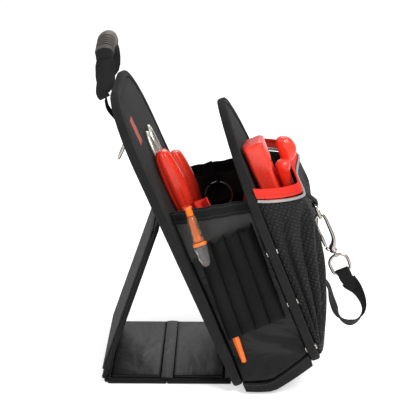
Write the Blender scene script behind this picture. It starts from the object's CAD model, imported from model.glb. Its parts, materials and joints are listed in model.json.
"""Looks for the electrician's tool pouch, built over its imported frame.

Most pieces are worked out in pouch coordinates, in millimetres: u forward from the back panel, y across
and v up the panel. They are turned into the frame's axes, and into metres as each mesh is made.
"""

import json
from math import atan2, cos, exp, pi, radians, sin

import bmesh
import bpy
from mathutils import Vector, noise
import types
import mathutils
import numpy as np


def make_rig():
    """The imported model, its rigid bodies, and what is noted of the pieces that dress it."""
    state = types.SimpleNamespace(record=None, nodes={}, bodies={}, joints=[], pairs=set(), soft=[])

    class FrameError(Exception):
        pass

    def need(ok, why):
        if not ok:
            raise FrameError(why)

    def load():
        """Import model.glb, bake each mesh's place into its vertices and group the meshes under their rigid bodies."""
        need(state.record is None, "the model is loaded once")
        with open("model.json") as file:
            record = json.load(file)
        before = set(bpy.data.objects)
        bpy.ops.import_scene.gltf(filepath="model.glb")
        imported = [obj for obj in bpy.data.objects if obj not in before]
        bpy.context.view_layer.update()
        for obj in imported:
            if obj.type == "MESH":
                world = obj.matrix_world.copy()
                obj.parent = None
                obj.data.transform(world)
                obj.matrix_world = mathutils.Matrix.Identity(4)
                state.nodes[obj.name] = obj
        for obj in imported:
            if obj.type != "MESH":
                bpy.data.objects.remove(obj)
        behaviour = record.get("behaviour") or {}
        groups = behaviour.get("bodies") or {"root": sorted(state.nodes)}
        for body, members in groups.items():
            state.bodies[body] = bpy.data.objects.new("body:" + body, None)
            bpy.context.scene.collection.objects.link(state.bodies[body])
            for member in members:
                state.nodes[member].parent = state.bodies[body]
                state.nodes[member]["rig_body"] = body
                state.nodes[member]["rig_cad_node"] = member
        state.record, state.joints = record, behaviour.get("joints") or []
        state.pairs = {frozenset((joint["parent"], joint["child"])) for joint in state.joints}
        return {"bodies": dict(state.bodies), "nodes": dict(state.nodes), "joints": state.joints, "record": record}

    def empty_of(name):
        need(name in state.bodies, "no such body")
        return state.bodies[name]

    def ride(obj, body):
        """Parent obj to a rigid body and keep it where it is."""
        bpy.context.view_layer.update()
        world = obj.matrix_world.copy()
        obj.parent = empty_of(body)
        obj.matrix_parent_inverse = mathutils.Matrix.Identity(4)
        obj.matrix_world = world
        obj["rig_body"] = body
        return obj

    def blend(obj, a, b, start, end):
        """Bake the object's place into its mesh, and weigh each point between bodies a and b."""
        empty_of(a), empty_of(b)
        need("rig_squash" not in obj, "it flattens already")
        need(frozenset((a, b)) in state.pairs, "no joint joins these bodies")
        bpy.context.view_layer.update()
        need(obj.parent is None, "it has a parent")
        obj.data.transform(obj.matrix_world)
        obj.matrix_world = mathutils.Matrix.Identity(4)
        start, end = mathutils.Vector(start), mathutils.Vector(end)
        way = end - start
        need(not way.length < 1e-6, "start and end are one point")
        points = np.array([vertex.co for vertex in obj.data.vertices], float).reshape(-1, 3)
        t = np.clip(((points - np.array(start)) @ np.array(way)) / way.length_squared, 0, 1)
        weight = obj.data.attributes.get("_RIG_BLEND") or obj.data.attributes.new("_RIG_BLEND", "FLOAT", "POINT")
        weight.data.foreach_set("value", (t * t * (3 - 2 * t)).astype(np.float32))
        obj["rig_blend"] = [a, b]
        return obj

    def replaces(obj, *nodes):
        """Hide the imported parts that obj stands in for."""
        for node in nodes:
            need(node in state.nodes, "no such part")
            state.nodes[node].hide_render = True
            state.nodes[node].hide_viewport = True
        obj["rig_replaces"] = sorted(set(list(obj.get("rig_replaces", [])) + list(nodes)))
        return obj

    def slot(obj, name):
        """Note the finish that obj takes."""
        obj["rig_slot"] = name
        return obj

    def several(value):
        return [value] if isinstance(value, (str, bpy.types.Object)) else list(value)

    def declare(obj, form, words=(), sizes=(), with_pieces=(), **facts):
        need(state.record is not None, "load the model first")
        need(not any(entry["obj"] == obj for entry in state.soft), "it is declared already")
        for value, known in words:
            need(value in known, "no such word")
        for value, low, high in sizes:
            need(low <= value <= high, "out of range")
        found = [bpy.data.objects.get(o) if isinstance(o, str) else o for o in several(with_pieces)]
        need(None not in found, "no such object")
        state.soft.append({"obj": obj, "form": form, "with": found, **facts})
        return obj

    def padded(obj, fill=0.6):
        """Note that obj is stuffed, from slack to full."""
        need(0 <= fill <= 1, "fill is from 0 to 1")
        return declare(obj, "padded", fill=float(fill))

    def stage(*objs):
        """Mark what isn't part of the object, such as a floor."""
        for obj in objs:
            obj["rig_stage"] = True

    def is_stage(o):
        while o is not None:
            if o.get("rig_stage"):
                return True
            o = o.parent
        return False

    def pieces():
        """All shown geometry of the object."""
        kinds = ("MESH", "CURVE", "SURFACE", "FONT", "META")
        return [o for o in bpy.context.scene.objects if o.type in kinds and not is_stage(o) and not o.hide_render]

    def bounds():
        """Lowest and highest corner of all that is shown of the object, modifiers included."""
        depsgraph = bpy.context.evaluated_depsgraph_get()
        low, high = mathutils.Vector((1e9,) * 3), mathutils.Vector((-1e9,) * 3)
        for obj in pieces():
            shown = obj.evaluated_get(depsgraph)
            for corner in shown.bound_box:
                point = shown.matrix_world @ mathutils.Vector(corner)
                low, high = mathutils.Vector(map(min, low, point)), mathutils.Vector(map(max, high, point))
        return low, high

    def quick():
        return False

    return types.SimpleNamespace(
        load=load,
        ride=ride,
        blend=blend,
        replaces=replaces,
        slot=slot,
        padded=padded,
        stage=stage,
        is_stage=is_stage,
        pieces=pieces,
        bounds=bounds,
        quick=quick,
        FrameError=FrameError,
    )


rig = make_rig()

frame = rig.load()
CAD_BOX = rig.bounds()

MM = 0.001                                # metres in a millimetre
TILT = radians(23.5)                      # how far the pouch leans back on its stand
HEEL = Vector((48.0, 0.0, 5.0))           # the origin of the pouch coordinates
CLIP_LEAN = radians(22.5)                 # how far the hanging hook leans out
CLIP_BAR = Vector((136.5, 0.0, 193.5))    # the middle of the front D-ring's bar


# ---------------------------------------------------------------- coordinates

def from_pouch(p):
    """Pouch coordinates to the frame's axes, in millimetres."""
    u, y, v = p
    return Vector((HEEL.x + u * cos(TILT) - v * sin(TILT), y, HEEL.z + u * sin(TILT) + v * cos(TILT)))


def to_pouch(p):
    x, z = p[0] - HEEL.x, p[2] - HEEL.z
    return Vector((x * cos(TILT) + z * sin(TILT), p[1], -x * sin(TILT) + z * cos(TILT)))


def from_clip(p):
    """Coordinates of the hanging hook (x outward, z up along the hook) to the frame's axes."""
    x, y, z = p
    return CLIP_BAR + Vector((x * cos(CLIP_LEAN) - z * sin(CLIP_LEAN), y,
                              x * sin(CLIP_LEAN) + z * cos(CLIP_LEAN)))


def as_is(p):
    return Vector(p)


def lerp(a, b, t):
    return a + (b - a) * t


def smooth_step(a, b, x):
    t = min(max((x - a) / (b - a), 0.0), 1.0)
    return t * t * (3.0 - 2.0 * t)


def spline(points, per_span, closed=False):
    """A smooth curve through points."""
    points = [Vector(p) for p in points]
    if closed:
        ring = [points[-1], *points, points[0], points[1]]
    else:
        ring = [points[0] * 2 - points[1], *points, points[-1] * 2 - points[-2]]
    result = []
    for a, b, c, d in zip(ring, ring[1:], ring[2:], ring[3:]):
        for i in range(per_span):
            t = i / per_span
            result.append(0.5 * (b * 2 + (c - a) * t + (a * 2 - b * 5 + c * 4 - d) * t * t
                                 + (b * 3 - a - c * 3 + d) * t ** 3))
    if not closed:
        result.append(points[-1])
    return result


def rough(p, scale, seed=0.0):
    """Smooth noise from -1 to 1 at a point, with features about scale millimetres wide."""
    return noise.noise(Vector((p[0] / scale + seed, p[1] / scale - seed, p[2] / scale + 2.0 * seed)))


# ---------------------------------------------------------------- meshes

def finish_piece(obj, mat, body, replaced=(), slot=None, smooth=True):
    obj.data.materials.clear()
    obj.data.materials.append(mat)
    if smooth:
        obj.data.shade_smooth()
    if body:
        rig.ride(obj, body)
    if replaced:
        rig.replaces(obj, *replaced)
    if slot:
        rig.slot(obj, slot)
    return obj


def raw_mesh(name, points, faces, uvs=None):
    """Mesh from points in millimetres in the frame's axes; uvs has one (s, t) in metres per face corner."""
    mesh = bpy.data.meshes.new(name)
    mesh.from_pydata([Vector(p) * MM for p in points], [], faces)
    if uvs:
        layer = mesh.uv_layers.new(name="UVMap")
        flat = [c for face in uvs for uv in face for c in uv]
        layer.data.foreach_set("uv", flat)
    obj = bpy.data.objects.new(name, mesh)
    bpy.context.scene.collection.objects.link(obj)
    return obj


def fix_normals(obj):
    bm = bmesh.new()
    bm.from_mesh(obj.data)
    bmesh.ops.recalc_face_normals(bm, faces=bm.faces)
    bm.to_mesh(obj.data)
    bm.free()
    return obj


def surface(name, rows, wrap=False, cap=False, flip=False):
    """A grid of points, with UVs that measure true distance along the rows and between them."""
    count, height = len(rows[0]), len(rows)
    points = [p for row in rows for p in row]
    along = []
    for row in rows:
        total, line = 0.0, [0.0]
        for a, b in zip(row, row[1:] + row[:1]):
            total += (Vector(b) - Vector(a)).length * MM
            line.append(total)
        along.append(line)
    across, total = [0.0], 0.0
    middle = count // 2
    for a, b in zip(rows, rows[1:]):
        total += sum((Vector(b[i]) - Vector(a[i])).length for i in (0, middle, count - 1)) / 3 * MM
        across.append(total)
    faces, uvs = [], []
    columns = count if wrap else count - 1
    for r in range(height - 1):
        for c in range(columns):
            d = (c + 1) % count
            quad = [r * count + c, r * count + d, (r + 1) * count + d, (r + 1) * count + c]
            corner = [(along[r][c], across[r]), (along[r][c + 1], across[r]), (along[r + 1][c + 1], across[r + 1]),
                      (along[r + 1][c], across[r + 1])]
            if flip:
                quad.reverse()
                corner.reverse()
            faces.append(quad)
            uvs.append(corner)
    if cap:
        for start in (0, (height - 1) * count):
            faces.append(list(range(start, start + count)))
            uvs.append([(0.0, 0.0)] * count)
    return raw_mesh(name, points, faces, uvs)


def applied(obj):
    """The object with its modifiers made real."""
    bpy.context.view_layer.update()
    evaluated = obj.evaluated_get(bpy.context.evaluated_depsgraph_get())
    mesh = bpy.data.meshes.new_from_object(evaluated)
    obj.modifiers.clear()
    obj.data = mesh
    return obj


def thicken(obj, thickness, offset=-1.0, rim=True):
    mod = obj.modifiers.new("thickness", "SOLIDIFY")
    mod.thickness = thickness * MM
    mod.offset = offset
    mod.use_rim = rim
    return applied(obj)


def subdivided(obj, levels=1):
    mod = obj.modifiers.new("smooth", "SUBSURF")
    mod.levels = mod.render_levels = levels
    return applied(obj)


def rounded(obj, width, segments=2, angle=35.0):
    mod = obj.modifiers.new("edge", "BEVEL")
    mod.width = width * MM
    mod.segments = segments
    mod.limit_method = "ANGLE"
    mod.angle_limit = radians(angle)
    return applied(obj)


def superellipse(half_a, half_b, count=20, power=2.5):
    points = []
    for i in range(count):
        a = 2.0 * pi * i / count
        c, s = cos(a), sin(a)
        points.append((half_a * abs(c) ** (2 / power) * (1 if c >= 0 else -1),
                       half_b * abs(s) ** (2 / power) * (1 if s >= 0 else -1)))
    return points


def sweep(name, path, sides, profile, closed=False, cap=True):
    """Sweep a closed profile along path. profile is a list of (side, up) points or a function of the place
    on the path (0 to 1) and the index. UV s runs along the path and t round the profile, in metres."""
    path = [Vector(p) for p in path]
    count = len(path)
    rows = []
    for i, point in enumerate(path):
        before = path[(i - 1) % count] if closed or i else path[0]
        after = path[(i + 1) % count] if closed or i < count - 1 else path[-1]
        along = (after - before).normalized()
        side = Vector(sides[i]) if isinstance(sides, list) else Vector(sides)
        side = (side - along * side.dot(along)).normalized()
        up = along.cross(side)
        shape = profile(i / max(count - 1, 1), i) if callable(profile) else profile
        rows.append([point + side * a + up * b for a, b in shape])
    ring = len(rows[0])
    around = [0.0]
    for a, b in zip(rows[0], rows[0][1:] + rows[0][:1]):
        around.append(around[-1] + (b - a).length * MM)
    length, lengths = 0.0, [0.0]
    steps = list(zip(path, path[1:] + path[:1]))
    for a, b in steps:
        length += (b - a).length * MM
        lengths.append(length)
    points = [p for row in rows for p in row]
    faces, uvs = [], []
    for r in range(count if closed else count - 1):
        n = (r + 1) % count
        for c in range(ring):
            d = (c + 1) % ring
            faces.append([r * ring + c, r * ring + d, n * ring + d, n * ring + c])
            uvs.append([(lengths[r], around[c]), (lengths[r], around[c + 1]), (lengths[r + 1], around[c + 1]),
                        (lengths[r + 1], around[c])])
    if cap and not closed:
        faces.append(list(range(ring)))
        uvs.append([(0.0, 0.0)] * ring)
        faces.append(list(range((count - 1) * ring, count * ring)))
        uvs.append([(0.0, 0.0)] * ring)
    return fix_normals(raw_mesh(name, points, faces, uvs))


def strap(name, path, sides, width, thickness=1.5, closed=False, ripple=0.0):
    """Webbing: a flat band with soft edges and a slightly uneven surface."""
    profile = superellipse(width / 2, thickness / 2, 28, 5.0)

    def shape(_, i):
        swell = 1.0 + ripple * rough((i, width, 0.0), 4.0)
        return [(a * swell, b) for a, b in profile]

    return sweep(name, path, sides, shape, closed)


def rod(name, path, radius, closed=False, normal=(0, 1, 0), sides=16):
    shape = superellipse(radius, radius, sides, 2.0) if not callable(radius) else (
        lambda t, i: superellipse(radius(t), radius(t), sides, 2.0))
    return sweep(name, path, normal, shape, closed)


def joined(name, parts):
    """One object from several."""
    bm = bmesh.new()
    for part in parts:
        bm.from_mesh(part.data)
        bpy.data.objects.remove(part)
    mesh = bpy.data.meshes.new(name)
    bm.to_mesh(mesh)
    bm.free()
    obj = bpy.data.objects.new(name, mesh)
    bpy.context.scene.collection.objects.link(obj)
    return obj


def lathe(name, profile, place, count=32):
    """Turn (distance along, radius) points; place maps (distance, side, up) to the frame's axes."""
    rows = []
    for d, r in profile:
        rows.append([place((d, r * cos(2 * pi * i / count), r * sin(2 * pi * i / count)))
                     for i in range(count)])
    return fix_normals(surface(name, rows, wrap=True, cap=True))


# ---------------------------------------------------------------- materials

class Nodes:
    """A little language for shader node trees."""

    def __init__(self, name):
        self.mat = bpy.data.materials.new(name)
        self.mat.use_nodes = True
        self.tree = self.mat.node_tree
        self.shader = self.tree.nodes["Principled BSDF"]

    def node(self, kind, **settings):
        node = self.tree.nodes.new(kind)
        for key, value in settings.items():
            setattr(node, key, value)
        return node

    def link(self, a, b):
        self.tree.links.new(a, b)

    def put(self, socket, value):
        if hasattr(value, "is_output"):
            self.link(value, socket)
        else:
            socket.default_value = value

    def uv(self):
        return self.node("ShaderNodeUVMap").outputs[0]

    def place(self):
        return self.node("ShaderNodeTexCoord").outputs["Object"]

    def mapped(self, vector, scale=(1, 1, 1), turn=0.0, location=(0, 0, 0)):
        node = self.node("ShaderNodeMapping")
        node.inputs["Scale"].default_value = scale
        node.inputs["Rotation"].default_value = (0, 0, turn)
        node.inputs["Location"].default_value = location
        self.link(vector, node.inputs["Vector"])
        return node.outputs[0]

    def math(self, operation, a, b=0.0, c=0.0):
        node = self.node("ShaderNodeMath", operation=operation)
        self.put(node.inputs[0], a)
        self.put(node.inputs[1], b)
        self.put(node.inputs[2], c)
        return node.outputs[0]

    def noise(self, vector, scale, detail=3.0, roughness=0.55, distortion=0.0):
        node = self.node("ShaderNodeTexNoise")
        node.inputs["Scale"].default_value = scale
        node.inputs["Detail"].default_value = detail
        node.inputs["Roughness"].default_value = roughness
        node.inputs["Distortion"].default_value = distortion
        self.link(vector, node.inputs["Vector"])
        return node.outputs["Fac"]

    def range(self, value, a, b, low=0.0, high=1.0):
        node = self.node("ShaderNodeMapRange", clamp=True)
        self.put(node.inputs["Value"], value)
        node.inputs["From Min"].default_value = a
        node.inputs["From Max"].default_value = b
        node.inputs["To Min"].default_value = low
        node.inputs["To Max"].default_value = high
        return node.outputs[0]

    def mix(self, factor, a, b):
        node = self.node("ShaderNodeMix", data_type="RGBA")
        self.put(node.inputs[0], factor)
        self.put(node.inputs[6], (*a, 1.0) if isinstance(a, tuple) and len(a) == 3 else a)
        self.put(node.inputs[7], (*b, 1.0) if isinstance(b, tuple) and len(b) == 3 else b)
        return node.outputs[2]

    def bump(self, height, distance, strength=1.0, normal=None):
        node = self.node("ShaderNodeBump")
        node.inputs["Distance"].default_value = distance
        node.inputs["Strength"].default_value = strength
        self.link(height, node.inputs["Height"])
        if normal is not None:
            self.link(normal, node.inputs["Normal"])
        return node.outputs[0]

    def threads(self, vector, pitch, turn=0.0):
        """Over-and-under threads, from 0 to 1, with pitch in metres."""
        turned = self.mapped(vector, turn=turn)
        split = self.node("ShaderNodeSeparateXYZ")
        self.link(turned, split.inputs[0])
        x = self.math("SINE", self.math("MULTIPLY", split.outputs[0], 2 * pi / pitch))
        y = self.math("SINE", self.math("MULTIPLY", split.outputs[1], 2 * pi / pitch))
        return self.math("MULTIPLY_ADD", self.math("MULTIPLY", x, y), 0.5, 0.5)

    def finish(self, colour, roughness, normal=None, metallic=0.0, sheen=0.0, coat=0.0, specular=0.5):
        s = self.shader.inputs
        self.put(s["Base Color"], (*colour, 1.0) if isinstance(colour, tuple) and len(colour) == 3 else colour)
        self.put(s["Roughness"], roughness)
        s["Metallic"].default_value = metallic
        s["Sheen Weight"].default_value = sheen
        s["Sheen Roughness"].default_value = 0.45
        s["Coat Weight"].default_value = coat
        s["Coat Roughness"].default_value = 0.08
        s["Specular IOR Level"].default_value = specular
        if normal is not None:
            self.link(normal, s["Normal"])
        return self.mat


def cloth(name, dark, light, pitch=0.0011, sheen=0.03, roughness=0.82, depth=0.0004, rows=None, row_colour=None,
          turn=0.0, wrinkle=0.0006, specular=0.16):
    """Coarse woven cloth: threads, uneven dye, pale lint and faint wrinkles. rows are stitch rows at those
    values of t, in metres."""
    n = Nodes(name)
    uv, place = n.uv(), n.place()
    weave = n.threads(uv, pitch, turn)
    grain = n.noise(place, 1500.0, 2.0, 0.7)
    cloudy = n.noise(place, 28.0, 3.0)
    lint = n.range(n.noise(place, 620.0, 2.0, 0.8), 0.6, 0.78)
    tone = n.math("MULTIPLY_ADD", grain, 0.6, n.math("MULTIPLY", cloudy, 0.6))
    colour = n.mix(n.range(tone, 0.35, 0.85), dark, light)
    colour = n.mix(n.math("MULTIPLY", lint, 0.16), colour, tuple(min(1.0, c * 3 + 0.05) for c in light))
    height = n.math("ADD", n.math("MULTIPLY", weave, 0.6), n.math("MULTIPLY", grain, 0.7))
    if rows:
        height, colour = stitched(n, uv, rows, height, colour,
                                  row_colour or tuple(c * 2.2 + 0.01 for c in light))
    normal = n.bump(n.noise(place, 42.0, 3.0, 0.5, 0.6), wrinkle * 6, 0.35)
    normal = n.bump(height, depth, 0.9, normal)
    return n.finish(colour, n.range(grain, 0.2, 0.8, roughness - 0.08, roughness + 0.1), normal, sheen=sheen,
                    specular=specular)


def stitched(n, uv, rows, height, colour, thread):
    """Add rows of stitches that run along s at each t in rows."""
    split = n.node("ShaderNodeSeparateXYZ")
    n.link(uv, split.inputs[0])
    dash = n.math("FRACT", n.math("DIVIDE", split.outputs[0], 0.0036))
    on = n.math("MULTIPLY", n.math("GREATER_THAN", dash, 0.22), n.math("LESS_THAN", dash, 0.92))
    for row in rows:
        near = n.range(n.math("ABSOLUTE", n.math("SUBTRACT", split.outputs[1], row)), 0.00035, 0.0008, 1.0, 0.0)
        groove = n.range(n.math("ABSOLUTE", n.math("SUBTRACT", split.outputs[1], row)), 0.0, 0.0022, -1.3, 0.0)
        stitch = n.math("MULTIPLY", near, on)
        height = n.math("ADD", height, n.math("MULTIPLY_ADD", stitch, 2.2, groove))
        colour = n.mix(n.math("MULTIPLY", stitch, 0.75), colour, thread)
    return height, colour


def webbing(name, dark, light, rows=None, pitch=0.0016, sheen=0.03):
    """Narrow woven tape: ribs across its length and a chevron of threads."""
    n = Nodes(name)
    uv, place = n.uv(), n.place()
    split = n.node("ShaderNodeSeparateXYZ")
    n.link(uv, split.inputs[0])
    zig = n.math("PINGPONG", split.outputs[1], 0.0016)
    ribs = n.math("SINE", n.math("MULTIPLY", n.math("ADD", split.outputs[0], zig), 2 * pi / pitch))
    grain = n.noise(place, 1300.0, 2.0, 0.7)
    cloudy = n.noise(place, 35.0, 3.0)
    tone = n.math("MULTIPLY_ADD", ribs, 0.12, n.math("ADD", n.math("MULTIPLY", grain, 0.5),
                                                     n.math("MULTIPLY", cloudy, 0.5)))
    colour = n.mix(n.range(tone, 0.3, 0.75), dark, light)
    height = n.math("ADD", n.math("MULTIPLY", ribs, 0.5), n.math("MULTIPLY", grain, 0.5))
    if rows:
        height, colour = stitched(n, uv, rows, height, colour, tuple(c * 2.0 + 0.015 for c in light))
    normal = n.bump(n.noise(place, 60.0, 2.0), 0.0016, 0.3)
    normal = n.bump(height, 0.00035, 0.9, normal)
    return n.finish(colour, n.range(grain, 0.2, 0.8, 0.68, 0.9), normal, sheen=sheen, specular=0.16)


def vinyl(name, dark, light, gloss=0.34, crease=0.003):
    """Coated cloth: fine grain, soft creases, scuffs and a satin sheen."""
    n = Nodes(name)
    uv, place = n.uv(), n.place()
    grain = n.noise(place, 1100.0, 2.0, 0.6)
    fold = n.noise(n.mapped(place, (9.0, 4.0, 16.0)), 1.6, 3.0, 0.55, 0.8)
    scuff = n.range(n.noise(n.mapped(place, (60.0, 20.0, 30.0)), 2.2, 4.0, 0.7), 0.56, 0.8)
    tone = n.noise(place, 12.0, 3.0)
    colour = n.mix(n.range(tone, 0.3, 0.7), dark, light)
    colour = n.mix(n.math("MULTIPLY", scuff, 0.25), colour, tuple(c * 2.4 + 0.01 for c in light))
    normal = n.bump(fold, crease * 3, 0.5)
    normal = n.bump(n.math("ADD", grain, n.math("MULTIPLY", n.threads(uv, 0.0013), 0.35)), 0.00016, 0.6, normal)
    rough_value = n.math("ADD", n.range(grain, 0.3, 0.7, gloss - 0.04, gloss + 0.06),
                         n.math("MULTIPLY", scuff, 0.14))
    return n.finish(colour, rough_value, normal, specular=0.28)


def honeycomb(name, dark, light, cell=0.0052):
    """Ripstop with small raised cells."""
    n = Nodes(name)
    uv, place = n.uv(), n.place()
    cells = n.node("ShaderNodeTexVoronoi", feature="DISTANCE_TO_EDGE")
    cells.inputs["Scale"].default_value = 1.0 / cell
    cells.inputs["Randomness"].default_value = 0.38
    n.link(n.mapped(uv, (1.0, 1.16, 1.0), 0.52), cells.inputs["Vector"])
    edge = n.range(cells.outputs["Distance"], 0.02, 0.34)
    grain = n.noise(place, 1500.0, 2.0, 0.7)
    cloudy = n.noise(place, 24.0, 3.0)
    tone = n.math("ADD", n.math("MULTIPLY", edge, 0.5), n.math("ADD", n.math("MULTIPLY", grain, 0.3),
                                                              n.math("MULTIPLY", cloudy, 0.4)))
    colour = n.mix(n.range(tone, 0.25, 0.95), dark, light)
    normal = n.bump(n.noise(place, 30.0, 3.0, 0.5, 0.5), 0.004, 0.4)
    normal = n.bump(n.math("ADD", edge, n.math("MULTIPLY", grain, 0.25)), 0.0009, 0.9, normal)
    return n.finish(colour, n.range(edge, 0.0, 1.0, 0.85, 0.6), normal, sheen=0.03, specular=0.22)


def plastic(name, colour, deep, roughness=0.16, coat=0.6, grain_depth=0.00006):
    n = Nodes(name)
    place = n.place()
    wave = n.noise(place, 26.0, 2.0)
    fine = n.noise(place, 700.0, 2.0)
    scratch = n.range(n.noise(n.mapped(place, (300.0, 300.0, 18.0)), 1.0, 4.0, 0.7), 0.6, 0.8)
    tint = n.mix(n.range(wave, 0.3, 0.7), deep, colour)
    tint = n.mix(n.math("MULTIPLY", scratch, 0.12), tint, tuple(min(1.0, c * 0.7 + 0.25) for c in colour))
    normal = n.bump(wave, 0.0012, 0.35)
    normal = n.bump(fine, grain_depth, 0.5, normal)
    rough_value = n.math("ADD", n.range(fine, 0.3, 0.7, roughness, roughness + 0.06),
                         n.math("MULTIPLY", scratch, 0.15))
    mat = n.finish(tint, rough_value, normal, coat=coat)
    n.shader.inputs["Subsurface Weight"].default_value = 0.12
    n.shader.inputs["Subsurface Radius"].default_value = (0.004, 0.001, 0.0006)
    n.shader.inputs["Subsurface Scale"].default_value = 1.0
    return mat


def metal(name, colour, dark, roughness=0.2, stretch=(40.0, 40.0, 400.0)):
    n = Nodes(name)
    place = n.place()
    brushed = n.noise(n.mapped(place, stretch), 1.5, 3.0, 0.6)
    spots = n.range(n.noise(place, 260.0, 3.0, 0.7), 0.55, 0.8)
    tint = n.mix(n.range(brushed, 0.3, 0.7), colour, dark)
    tint = n.mix(n.math("MULTIPLY", spots, 0.12), tint, tuple(c * 0.5 for c in dark))
    rough_value = n.math("ADD", n.range(brushed, 0.3, 0.7, roughness - 0.04, roughness + 0.04),
                         n.math("MULTIPLY", spots, 0.05))
    normal = n.bump(n.noise(place, 90.0, 2.0), 0.0001, 0.12)
    return n.finish(tint, rough_value, normal, metallic=1.0)


def clear(name, colour, roughness, ior, transmission=0.9):
    n = Nodes(name)
    place = n.place()
    flow = n.noise(place, 160.0, 2.0)
    tint = n.mix(n.range(flow, 0.35, 0.65), colour, tuple(c * 0.82 for c in colour))
    mat = n.finish(tint, n.range(flow, 0.3, 0.7, roughness, roughness + 0.05), n.bump(flow, 0.0006, 0.3))
    n.shader.inputs["Transmission Weight"].default_value = transmission
    n.shader.inputs["IOR"].default_value = ior
    return mat


MAT = {
    "panel": cloth("panel_cloth", (0.008, 0.0082, 0.0084), (0.024, 0.0242, 0.024)),
    "loop_cloth": cloth("loop_cloth", (0.0035, 0.0035, 0.0036), (0.0125, 0.0125, 0.012), 0.0013, depth=0.0006,
                        specular=0.12),
    "binding": webbing("edge_binding", (0.006, 0.006, 0.0062), (0.019, 0.019, 0.0185), rows=(0.0068, 0.0307)),
    "stand_binding": webbing("stand_binding", (0.0045, 0.0045, 0.0048), (0.0125, 0.0125, 0.0125),
                             rows=(0.0046,)),
    "tape": webbing("webbing_tape", (0.0048, 0.0048, 0.005), (0.0175, 0.0175, 0.0177), pitch=0.0019),
    "band": webbing("band_webbing", (0.006, 0.006, 0.0062), (0.016, 0.016, 0.0162), rows=(0.0042, 0.0135)),
    "vinyl": vinyl("black_vinyl", (0.0028, 0.0028, 0.003), (0.0065, 0.0065, 0.007)),
    "grey_vinyl": vinyl("grey_vinyl", (0.021, 0.021, 0.0212), (0.04, 0.04, 0.0395), 0.36, 0.0016),
    "honeycomb": honeycomb("honeycomb_ripstop", (0.0035, 0.0036, 0.0038), (0.019, 0.0195, 0.0205), 0.0049),
    "red_cloth": cloth("red_nylon", (0.6, 0.016, 0.011), (0.9, 0.05, 0.03), 0.0016, sheen=0.0, depth=0.0005,
                       rows=(0.0022,), row_colour=(0.75, 0.12, 0.1)),
    "piping": cloth("grey_piping", (0.22, 0.22, 0.215), (0.42, 0.42, 0.41), 0.0008, sheen=0.0, roughness=0.45,
                    depth=0.0002, specular=0.4),
    "patch": cloth("blank_patch", (0.36, 0.07, 0.05), (0.55, 0.18, 0.14), 0.0009, sheen=0.0),
    "red": plastic("red_plastic", (0.95, 0.05, 0.022), (0.86, 0.032, 0.014), 0.24, 0.15),
    "orange": plastic("orange_plastic", (0.95, 0.24, 0.008), (0.8, 0.12, 0.004), 0.2, 0.3),
    "amber": clear("amber_plastic", (1.0, 0.8, 0.6), 0.06, 1.35, 0.95),
    "clear": clear("clear_plastic", (0.95, 0.93, 0.9), 0.05, 1.45, 0.95),
    "rubber": cloth("grip_rubber", (0.05, 0.043, 0.038), (0.13, 0.112, 0.098), 0.0007, sheen=0.0, roughness=0.5,
                    depth=0.00015, specular=0.4),
    "rubber_dark": cloth("grip_groove", (0.012, 0.011, 0.01), (0.03, 0.028, 0.026), 0.0007, sheen=0.0,
                         roughness=0.6, depth=0.0001),
    "steel": metal("nickel", (0.45, 0.42, 0.38), (0.37, 0.345, 0.315), 0.17),
    "bright": metal("polished_steel", (0.88, 0.85, 0.79), (0.72, 0.69, 0.63), 0.38, (300.0, 40.0, 40.0)),
}

NODES = frame["nodes"]
BODY = {n: body for body, nodes in frame["record"]["behaviour"]["bodies"].items() for n in nodes}
SLOTS = {"panel": "weave", "loop_cloth": "weave", "binding": "webbing",
         "stand_binding": "webbing", "tape": "webbing", "band": "webbing", "vinyl": "vinyl", "grey_vinyl": "vinyl",
         "honeycomb": "ripstop", "red_cloth": "red_nylon", "piping": "piping", "patch": "patch",
         "red": "red_plastic", "orange": "orange_plastic", "amber": "clear_plastic", "clear": "clear_plastic",
         "rubber": "grip_rubber", "rubber_dark": "grip_rubber", "steel": "nickel_steel", "bright": "nickel_steel"}


def done(obj, mat, *nodes, body=None, smooth=True):
    """Finish a piece that stands for nodes, or that goes with body."""
    return finish_piece(obj, MAT[mat], body or BODY[nodes[0]], nodes, SLOTS[mat], smooth)


# ---------------------------------------------------------------- cloth

def puffed(name, nodes, pressure, cap, behind, voxel=5.0, grow=1.035):
    """A stuffed panel from the CAD solid: remeshed, blown up a little by a cloth simulation and kept to cap.

    Its rear face moves back by no more than behind.
    """
    forward = (from_pouch((1, 0, 0)) - from_pouch((0, 0, 0))).normalized()
    source = NODES[nodes[0]]
    obj = bpy.data.objects.new(name, source.data.copy())
    bpy.context.scene.collection.objects.link(obj)
    mesh = obj.data
    centre = sum((v.co for v in mesh.vertices), Vector()) / len(mesh.vertices)
    for v in mesh.vertices:
        v.co = centre + (v.co - centre) * grow
    remesh = obj.modifiers.new("remesh", "REMESH")
    remesh.mode = "VOXEL"
    remesh.voxel_size = voxel * MM
    applied(obj)
    rest = [v.co.copy() for v in obj.data.vertices]
    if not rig.quick():
        cloth_mod = obj.modifiers.new("cloth", "CLOTH")
        s = cloth_mod.settings
        s.quality = 5
        s.use_pressure = True
        s.uniform_pressure_force = pressure
        s.effector_weights.gravity = 0.0
        s.tension_stiffness = s.compression_stiffness = 25.0
        s.bending_stiffness = 2.0
        cloth_mod.collision_settings.use_collision = False
        scene = bpy.context.scene
        cloth_mod.point_cache.frame_start = 1
        cloth_mod.point_cache.frame_end = 20
        for f in range(1, 21):
            scene.frame_set(f)
        applied(obj)
        scene.frame_set(1)
    for v, old in zip(obj.data.vertices, rest):
        move = v.co - old
        if move.length > cap * MM:
            move = move.normalized() * cap * MM
        backward = -move.dot(forward) - behind * MM
        if backward > 0.0:
            move += forward * backward
        v.co = old + move
    return subdivided(obj)


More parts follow.
